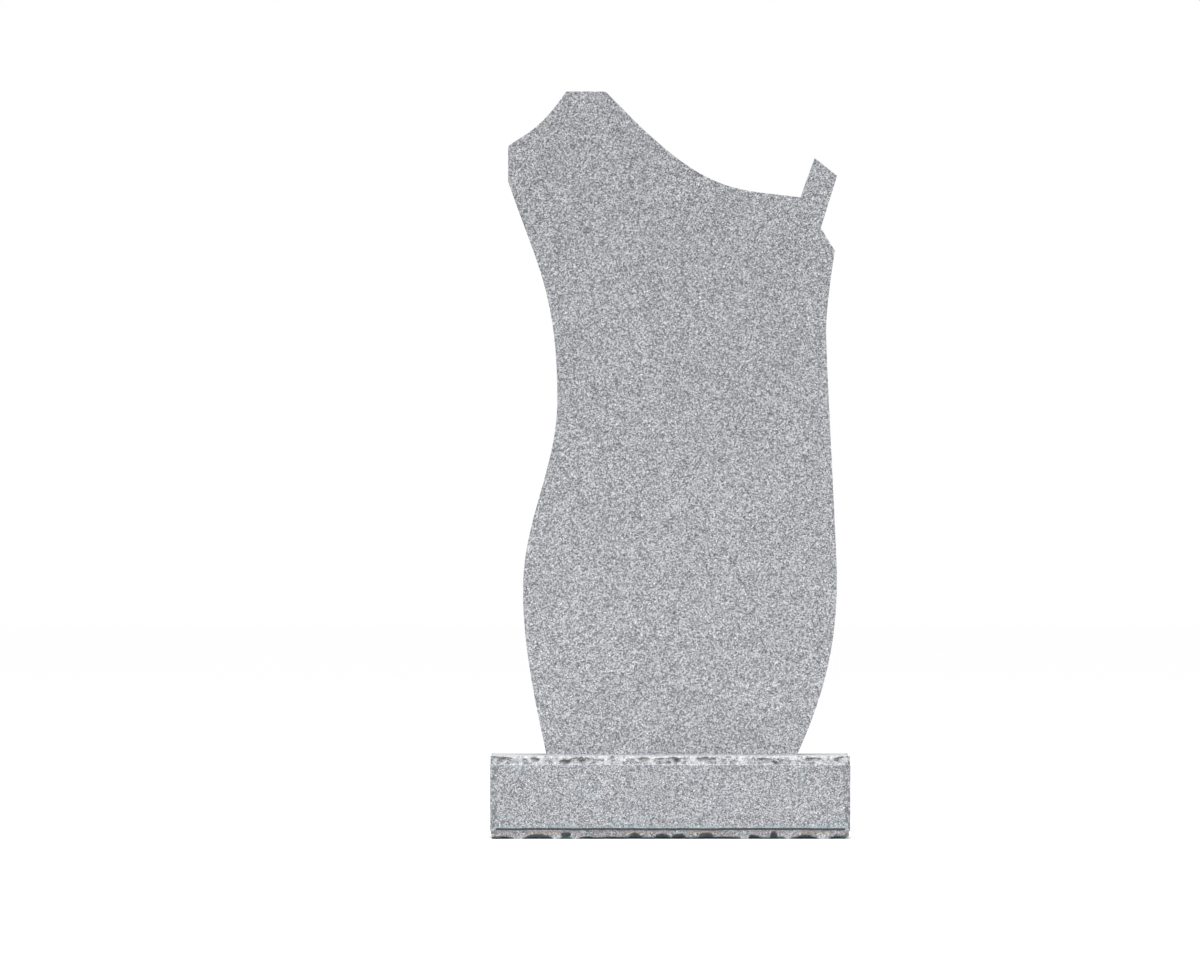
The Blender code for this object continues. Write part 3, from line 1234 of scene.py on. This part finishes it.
    def broken_edge(self, s: np.ndarray, z: np.ndarray, margin: np.ndarray,
                    grain: BrokenGrain) -> np.ndarray:
        """Setback of the broken upper edge.

        It is a shallow rebate with a little sill, then a curve back to the top, with
        scars in it, all of it shallow close to a corner. Most of the thin stone left
        over a scar has fallen away, less of it in front.

        Args:
            s: distance round the base, 1 x N.
            z: heights, M x 1.
            margin: distance to the nearest corner, 1 x N.
            grain: roughness of the broken faces.

        Returns:
            Setbacks in metres, M x N.
        """
        sill = self.face_top + self.sill_wander * (self.noise_round(s, self.sill_noise) - 0.5)
        share = np.clip((z - sill) / (self.height - sill), 0.0, 1.0)
        in_long_side = (s % (self.width + self.depth)) < self.width
        ends = self.end_crest + (1 - self.end_crest) * (
            smooth_step(margin, *self.end_margins) * in_long_side)
        swell = self.noise_round(s, self.crest_noise)
        crest = self.crest * (self.crest_least + self.crest_swell * swell) * ends
        curve = np.clip((share - self.crest_from) / (1 - self.crest_from), 0.0, None)
        rough = self.edge_grit * grain.grit + self.edge_coarse * grain.coarse
        edge = (self.rebate * smooth_step(share, *self.rebate_shares)
                + crest * curve ** self.crest_power
                + rough * smooth_step(share, *self.edge_rough_shares))
        for scars in (list(self.upper_scars), self.seeded_scars(self.upper_row)):
            edge += scar_depth(s, z, scars, grain.ragged) * (share > 0)
        most = np.where(s > self.width, self.fallen_unseen, self.fallen_in_front)
        fallen = most * smooth_step(share, *self.fallen_shares)
        edge = np.maximum(edge, np.maximum.accumulate(edge, axis=0) * fallen)
        return np.minimum(edge, self.corner_break + self.corner_break_slope * margin)

    def broken_lip(self, s: np.ndarray, z: np.ndarray, margin: np.ndarray,
                   grain: BrokenGrain) -> np.ndarray:
        """Setback of the lip under the saw line.

        It falls back towards the ground, more steeply close to it, and has hollows.
        Between its lumps it is undercut.

        Args:
            s: distance round the base, 1 x N.
            z: heights, M x 1.
            margin: distance to the nearest corner, 1 x N.
            grain: roughness of the broken faces.

        Returns:
            Setbacks in metres, M x N.
        """
        share = np.clip(1.0 - z / self.saw_low, 0.0, 1.0)
        off_lumps = 1 - self.on_lumps(s)
        lip = (self.lip_step + self.lip_fall * share
               + self.lip_toe * share ** self.lip_toe_power * off_lumps
               + self.lip_grit * grain.grit + self.lip_coarse * grain.coarse)
        unseen = scar_depth(s, z, self.seeded_scars(self.lower_row), grain.ragged)
        seen = scar_depth(s, z, list(self.lower_scars),
                          grain.ragged * self.hollow_ragged_in_front)
        hollows = np.where(s > self.width, unseen * self.hollow_gain_unseen, seen)
        foot = self.undercut * off_lumps * smooth_step(z, *self.undercut_heights)
        most = self.corner_fall + self.corner_fall_slope * margin
        lip = np.minimum(lip + hollows, most) + foot
        under_line = smooth_step(z, self.saw_low, self.saw_low - self.lip_start)
        return lip * (z < self.saw_low) * under_line

    def saw_line(self, s: np.ndarray, z: np.ndarray) -> np.ndarray:
        """Depth of the saw line, an even groove in the front that stops short of its ends.

        Args:
            s: distance round the base, 1 x N.
            z: heights, M x 1.

        Returns:
            Depths in metres, M x N.
        """
        wobble = self.saw_wobble * (self.noise_round(s, self.saw_noise) - 0.5)
        inside = ((z > self.saw_low + self.saw_edge + wobble)
                  & (z < self.saw_high - self.saw_edge + wobble)
                  & (s > self.saw_margin) & (s < self.width - self.saw_margin))
        return self.saw_depth * inside

    def setbacks(self, s: np.ndarray, z: np.ndarray, margin: np.ndarray) -> np.ndarray:
        """How far the stone stands back from its nominal faces.

        It is the broken edge and the broken lip, or the rounding and the chips of an
        upright arris where these go deeper, and the saw line on top.

        Args:
            s: distance round the base, 1 x N.
            z: heights, M x 1.
            margin: distance to the nearest corner, 1 x N.

        Returns:
            Setbacks in metres, M x N.
        """
        grain = BrokenGrain(
            grit=self.noise(s, z, self.grit_noise) - self.grit_middle,
            coarse=self.noise(s, z, self.coarse_noise) - self.coarse_middle,
            ragged=self.ragged_height * (self.noise(s, z, self.ragged_noise) - 0.5))
        edge = self.broken_edge(s, z, margin, grain)
        lip = self.broken_lip(s, z, margin, grain)
        total = np.clip(edge, 0.0, None) + np.clip(lip, 0.0, None)
        near = np.clip(1 - margin / self.corner_radius, 0, 1)
        rounded = self.corner_rounding * self.corner_radius * near ** 2
        chips = scar_depth(s, z, self.corner_chips())
        return np.maximum(total, rounded + chips) + self.saw_line(s, z)

    def arris_dirt(self, s: np.ndarray, z: np.ndarray) -> np.ndarray:
        """Dark flecks in a narrow strip beside each upright arris.

        Args:
            s: distance round the base, 1 x N.
            z: heights, M x 1.

        Returns:
            Strength from 0 to 1, M x N.
        """
        near = np.min(np.abs(s[..., None] - self.corners()), axis=-1)
        strip = smooth_step(near, *self.dirt_inner) * smooth_step(near, *self.dirt_outer)
        flecks = self.noise(s, z, self.dirt_noise)
        return strip * self.dirt_share * smooth_step(flecks, *self.dirt_lots)

    def bruising(self, s: np.ndarray, z: np.ndarray, broken: np.ndarray,
                 slope: np.ndarray) -> np.ndarray:
        """Where broken stone is pale: with dust, and with painted light on the edge's upward ledges
        and on the lumps.

        Args:
            s: distance round the base, 1 x N.
            z: heights, M x 1.
            broken: 1 where the upper edge stands back, M x N.
            slope: how the setback grows with height, M x N.

        Returns:
            Strength from 0 to 1, M x N.
        """
        dust = self.noise(s, z, self.dust_noise)
        # Dust in flecks, and painted light where the broken edge faces upwards.
        dust_and_light = (self.dust_share * smooth_step(dust, *self.dust_lots)
                 + self.ledge_light_share * smooth_step(slope, *self.ledge_light_slopes))
        # Painted light on the lumps.
        painted_lump_light = self.on_lumps(s) * smooth_step(z, *self.lump_light_heights)
        return np.maximum(broken * np.clip(dust_and_light, 0, 1), self.lump_light_share * painted_lump_light)

    def stain(self, s: np.ndarray, z: np.ndarray, patch: np.ndarray) -> np.ndarray:
        """The brownish stain just under the saw line.

        Args:
            s: distance round the base, 1 x N.
            z: heights, M x 1.
            patch: noise that breaks it up, M x N.

        Returns:
            Strength from 0 to 1, M x N.
        """
        start, whole = self.stain_drop
        below = smooth_step(z, self.saw_low - start, self.saw_low - whole)
        in_front = (s < self.width) & (s > 0)
        return below * (z < self.saw_low) * in_front * smooth_step(patch, *self.stain_lots)

    def smear(self, s: np.ndarray, z: np.ndarray, patch: np.ndarray) -> np.ndarray:
        """The dried slurry just over the saw line, and what the rain left of it higher up.

        Args:
            s: distance round the base, 1 x N.
            z: heights, M x 1.
            patch: noise that breaks it up, M x N.

        Returns:
            Strength from 0 to 1, M x N.
        """
        start, whole = self.smear_rise
        run = self.smear_wander * (self.noise_round(s, self.smear_noise) - 0.5)
        above = smooth_step(z + run, self.saw_high + start, self.saw_high + whole)
        from_line = z > self.saw_high - self.smear_overlap
        thick = above * from_line * smooth_step(patch, *self.smear_lots)
        rinsed = smooth_step(self.noise(s, z, self.rinse_noise), *self.rinse_lots)
        faint = self.rinse_share * rinsed * (z > self.saw_high)
        in_front = (s < self.width) & (s > 0)
        return np.maximum(thick, faint) * in_front

    def painted_recess_shade(self, s: np.ndarray, z: np.ndarray, setback: np.ndarray) -> np.ndarray:
        """Painted shade in the saw line, in the hollows under it and close to the ground.

        Args:
            s: distance round the base, 1 x N.
            z: heights, M x 1.
            setback: how far the stone stands back, M x N.

        Returns:
            Strength from 0 to 1, M x N.
        """
        # Painted shade in the saw line, in the deep hollows and close to the ground between the
        # lumps.
        in_line = ((z > self.saw_low + self.line_edge) & (z < self.saw_high - self.line_edge)
                   & (setback > self.line_depth))
        start, whole = self.hollow_drop
        hollow = (smooth_step(setback, *self.hollow_depths)
                  * smooth_step(z, self.saw_low - start, self.saw_low - whole))
        low = (1 - self.on_lumps(s)) * (
            self.low_shade * smooth_step(z, *self.low_heights)
            + self.ground_shade * smooth_step(z, *self.ground_heights))
        return np.maximum.reduce([self.line_shade * in_line, hollow,
                                  low * np.ones_like(setback)])

    def wear_and_light(self, s: np.ndarray, z: np.ndarray, setback: np.ndarray) -> np.ndarray:
        """Where the base is broken, stained, smeared and dirty, and where light and shade are
        painted on it.

        Broken stone is pale with dust where the edge stands back; where it faces
        upwards and on the lumps it rests on it is paler with painted light, and under
        each little overhang it is darkened with painted shade. Dirt takes the stain
        colour and the dark colour together, and so does the painted shade.

        Args:
            s: distance round the base, 1 x N.
            z: heights, M x 1.
            setback: how far the stone stands back, M x N.

        Returns:
            The attribute of wear, dirt, painted light and painted shade, with three rows
            more than setback: a clean one for the underside and two evenly pale ones for
            the top, dust and painted light.
        """
        slope = np.gradient(setback, z[:, 0], axis=0)
        on_edge = z > self.face_top - self.edge_reach
        broken = smooth_step(setback, *self.broken_depths) * on_edge
        # Painted shade under each little overhang, where the setback shrinks upwards.
        overhang_shade = broken * smooth_step(-slope, *self.overhang_shade_slopes)
        patch = self.noise(s, z, self.patch_noise)
        dirt = self.arris_dirt(s, z)
        wear_and_light = np.zeros(setback.shape + (len(WearAndLight),))
        wear_and_light[..., WearAndLight.BROKEN_AND_LIT.value] = self.bruising(s, z, broken, slope)
        wear_and_light[..., WearAndLight.STAIN_AND_SHADE.value] = np.maximum.reduce([
            self.stain(s, z, patch), self.overhang_shade_brown * overhang_shade, self.dirt_stain * dirt])
        wear_and_light[..., WearAndLight.SLURRY.value] = self.smear(s, z, patch)
        wear_and_light[..., WearAndLight.DIRT_AND_SHADE.value] = np.maximum.reduce([
            self.overhang_shade_blue * overhang_shade, self.painted_recess_shade(s, z, setback), dirt])
        clean = np.zeros((1,) + wear_and_light.shape[1:])
        dust_and_light = clean.copy()
        # The top is pale with dust and with painted light from above.
        dust_and_light[..., WearAndLight.BROKEN_AND_LIT.value] = self.top_dust_and_light
        return np.concatenate([clean, wear_and_light, dust_and_light, dust_and_light])

    def build(self, finish: Granite) -> bpy.types.Object:
        """Make the base: a grid of heights and columns, each point moved by its setback.

        A plain ring inside the lowest one closes the underside, and two inside the
        highest one make the top.

        Args:
            finish: the granite.

        Returns:
            The base's object.
        """
        points, steps, distance, margin = self.plan()
        z = self.levels()[:, None]
        s = distance[None, :]
        setback = self.setbacks(s, z, margin[None, :])
        plan = points[None] + steps[None] * setback[..., None]
        rings = np.concatenate([plan, np.broadcast_to(z[..., None], setback.shape + (1,))], axis=-1)
        flats = [(setback[0] + self.closing, 0.0), (setback[-1] + self.rim, self.height),
                 (setback[-1] + self.closing, self.height)]
        under, edge, top = [
            np.concatenate([points + steps * inset[:, None], np.full((len(points), 1), level)],
                           axis=-1)[None] for inset, level in flats]
        rings = np.concatenate([under, rings, edge, top])
        piece = ring_mesh("base_stone", rings, self.wear_and_light(s, z, setback), self.sharp_degrees)
        piece.data.materials.append(finish.material())
        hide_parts("base")
        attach(piece, "root")
        return piece


@dataclass(frozen=True)
class Softbox:
    """One soft rectangular light.

    Attributes:
        name: the light's name.
        place: where its middle is.
        aim: the point it faces.
        size: its width and height.
        power: in watts.
        spread: opening of its beam, in degrees.
    """

    name: str
    place: Point
    aim: Point
    size: Range
    power: float
    spread: float

    def build(self) -> None:
        """Make the light."""
        lamp = bpy.data.lights.new(self.name, "AREA")
        lamp.shape = "RECTANGLE"
        lamp.size, lamp.size_y = self.size
        lamp.energy = self.power
        lamp.spread = math.radians(self.spread)
        light = bpy.data.objects.new(self.name, lamp)
        light.location = self.place
        way = np.array(self.aim) - np.array(self.place)
        level = math.hypot(way[0], way[1])
        light.rotation_euler = (math.atan2(level, -way[2]), 0.0, math.atan2(-way[0], way[1]))
        bpy.context.scene.collection.objects.link(light)


@dataclass
class Studio:
    """A pale floor, soft light all round and the camera at the photograph's angle.

    The camera stands square to the tablet's front, whose depth is face, and pixel is
    the width there of one of the photograph's pixels.
    """

    frame_pixels: int = 1200
    pixel: float = 1.8085 * MM
    distance: float = 20.0
    centre_across: float = -0.1267
    centre_up: float = 0.6366
    face: float = -0.040
    sensor: float = 36.0
    clip_end: float = 200.0
    floor_reach: float = 30.0
    white: str = "#fefefe"
    surround: float = 1.0
    softboxes: tuple[Softbox, ...] = (
        Softbox("key_softbox", (-0.3, -3.0, 2.2), (0.0, 0.0, -0.1), (3.0, 2.0), 6.0, 46.0),
        Softbox("overhead_softbox", (0.0, -0.4, 6.0), (0.0, -0.3, 0.0), (2.0, 1.0), 170.0, 180.0),
    )

    def build_floor(self) -> None:
        """Make the floor: one square of matt white, level with the ground."""
        reach = self.floor_reach
        corners = [(-reach, -reach, 0.0), (reach, -reach, 0.0),
                   (reach, reach, 0.0), (-reach, reach, 0.0)]
        mesh = bpy.data.meshes.new("studio_floor")
        mesh.from_pydata(corners, [], [(0, 1, 2, 3)])
        floor = bpy.data.objects.new("studio_floor", mesh)
        bpy.context.scene.collection.objects.link(floor)
        material = bpy.data.materials.new("white studio floor")
        material.use_nodes = True
        shader = material.node_tree.nodes["Principled BSDF"]
        shader.inputs["Base Color"].default_value = linear(self.white)
        shader.inputs["Roughness"].default_value = 1.0
        shader.inputs["Specular IOR Level"].default_value = 0.0
        mesh.materials.append(material)

    def build_light(self) -> None:
        """Make the even white surround, a soft light in front and one overhead."""
        world = bpy.data.worlds.new("soft studio surround")
        world.use_nodes = True
        background = world.node_tree.nodes["Background"]
        background.inputs["Color"].default_value = (1.0, 1.0, 1.0, 1.0)
        background.inputs["Strength"].default_value = self.surround
        bpy.context.scene.world = world
        for softbox in self.softboxes:
            softbox.build()

    def build_camera(self) -> None:
        """Make the camera: square to the front, a long lens, level with the frame's middle."""
        lens = bpy.data.cameras.new("photo_camera")
        lens.sensor_width = self.sensor
        lens.lens = self.sensor * self.distance / (self.frame_pixels * self.pixel)
        lens.clip_end = self.clip_end
        camera = bpy.data.objects.new("photo_camera", lens)
        camera.location = (self.centre_across, self.face - self.distance, self.centre_up)
        camera.rotation_euler = (math.radians(90.0), 0.0, 0.0)
        bpy.context.scene.collection.objects.link(camera)
        bpy.context.scene.camera = camera

    def build(self) -> None:
        """Set the whole studio up."""
        self.build_floor()
        self.build_light()
        self.build_camera()
        bpy.context.scene.view_settings.view_transform = "Standard"


def main() -> None:
    """Build the stones and the studio."""
    logging.basicConfig(level=logging.INFO, format="%(message)s")
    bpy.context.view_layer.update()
    Studio().build()
    tablet = Tablet()
    stones = (
        Base().build(Granite("grey granite, sawn and broken")),
        tablet.build(Granite("grey granite, evenly dressed", joint=tablet.foot_level)),
    )
    for stone in stones:
        LOG.info("%s: %d faces", stone.name, len(stone.data.polygons))


if __name__ == "__main__":
    main()
